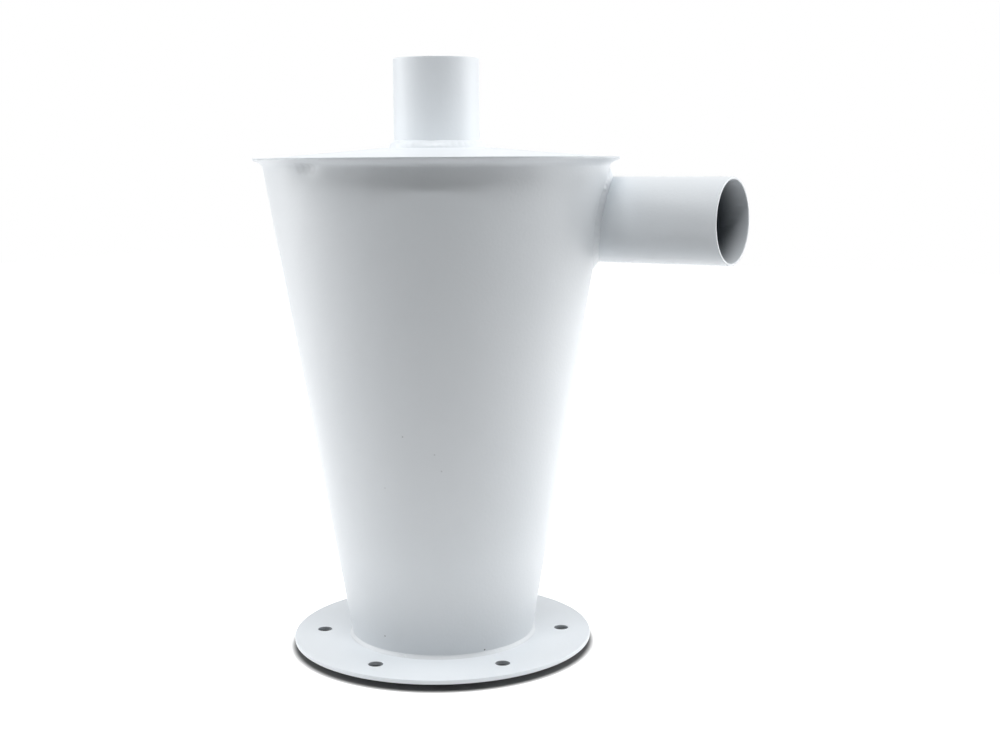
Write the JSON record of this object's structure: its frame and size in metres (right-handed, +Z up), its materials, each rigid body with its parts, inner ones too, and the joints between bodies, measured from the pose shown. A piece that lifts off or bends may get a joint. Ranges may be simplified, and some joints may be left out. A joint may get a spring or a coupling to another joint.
{
  "type": "cyclone separator",
  "caption": "Welded sheet-steel dust cyclone: tapered body with a flared rim, dished lid with a central outlet tube, off-centre inlet tube and a drilled base flange.",
  "frame": {"origin": "centre of the base flange's underside, on the cone's axis", "axes": "+Z up along the cone's axis, towards the outlet tube; +X along the inlet tube, towards its mouth"},
  "size_m": [0.2719, 0.214, 0.349],
  "materials": {
    "white_coat": "satin powder coat, cool white, on steel"
  },
  "bodies": {
    "root": {"cone_shell": "white_coat", "lid": "white_coat", "outlet_tube": "white_coat", "inlet_tube": "white_coat", "base_flange": "white_coat", "outlet_weld": "white_coat", "flange_weld": "white_coat", "inlet_weld": "white_coat"}
  },
  "joints": []
}
